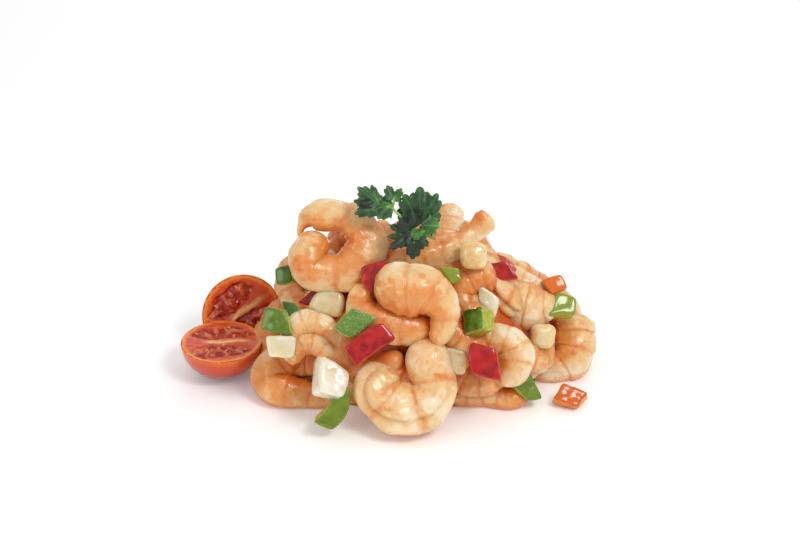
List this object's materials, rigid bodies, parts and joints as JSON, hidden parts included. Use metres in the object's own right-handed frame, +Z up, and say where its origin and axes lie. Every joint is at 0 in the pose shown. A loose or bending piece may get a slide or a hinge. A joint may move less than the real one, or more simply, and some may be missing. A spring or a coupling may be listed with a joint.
{
  "type": "prawn salad heap",
  "caption": "Heap of peeled, curled prawns with diced pepper and onion, cherry tomato halves at its left and curly parsley on top.",
  "frame": {"origin": "middle of the bounding box, on the surface that the heap lies on", "axes": "+Z up, +X to the right of the pictured side, +Y away from it"},
  "size_m": [0.1574, 0.1022, 0.0853],
  "materials": {
    "prawn_flesh": "wet gloss",
    "green_pepper": "wet gloss",
    "red_pepper": "wet gloss",
    "orange_pepper": "wet gloss",
    "onion": "wet gloss",
    "cherry_tomato": "wet gloss",
    "parsley_leaf": "satin",
    "heap_inside": "wet gloss"
  },
  "bodies": {
    "root": {"green_pepper_left_top": "green_pepper", "green_pepper_by_tomato": "green_pepper", "green_pepper_dark": "green_pepper", "green_pepper_middle": "green_pepper", "green_pepper_front": "green_pepper", "green_pepper_cube": "green_pepper", "green_pepper_right": "green_pepper", "green_pepper_floor": "green_pepper", "green_pepper_pale": "green_pepper", "red_pepper_centre": "red_pepper", "red_pepper_top": "red_pepper", "red_pepper_right": "red_pepper", "red_pepper_upper": "red_pepper", "red_pepper_strip": "red_pepper", "orange_pepper_upper": "orange_pepper", "orange_pepper_floor": "orange_pepper", "onion_left": "onion", "onion_front": "onion", "onion_yellow": "onion", "onion_sliver": "onion", "onion_top": "onion", "onion_middle": "onion", "red_pepper_back_low": "red_pepper", "green_pepper_back": "green_pepper", "onion_back": "onion", "red_pepper_back_right": "red_pepper", "green_pepper_back_left": "green_pepper", "onion_right": "onion", "red_pepper_behind": "red_pepper", "tomato_front": "cherry_tomato", "tomato_back": "cherry_tomato", "prawn_front": "prawn_flesh", "prawn_left": "prawn_flesh", "prawn_left_low": "prawn_flesh", "prawn_left_arch": "prawn_flesh", "prawn_top_left": "prawn_flesh", "prawn_centre": "prawn_flesh", "prawn_inner": "prawn_flesh", "prawn_top_right": "prawn_flesh", "prawn_behind_parsley": "prawn_flesh", "prawn_right_bend": "prawn_flesh", "prawn_right_low": "prawn_flesh", "prawn_floor_right": "prawn_flesh", "prawn_right": "prawn_flesh", "prawn_behind_tomato": "prawn_flesh", "prawn_middle_right": "prawn_flesh", "prawn_back_left": "prawn_flesh", "prawn_back_centre": "prawn_flesh", "prawn_back_right": "prawn_flesh", "prawn_back_middle_left": "prawn_flesh", "prawn_back_middle_right": "prawn_flesh", "prawn_back_low_left": "prawn_flesh", "prawn_back_low_right": "prawn_flesh", "prawn_back_middle": "prawn_flesh", "prawn_back_upper": "prawn_flesh", "prawn_right_side": "prawn_flesh", "prawn_middle_upper": "prawn_flesh", "prawn_behind_right": "prawn_flesh", "parsley_sprig": "parsley_leaf", "heap_core": "heap_inside"}
  },
  "joints": []
}
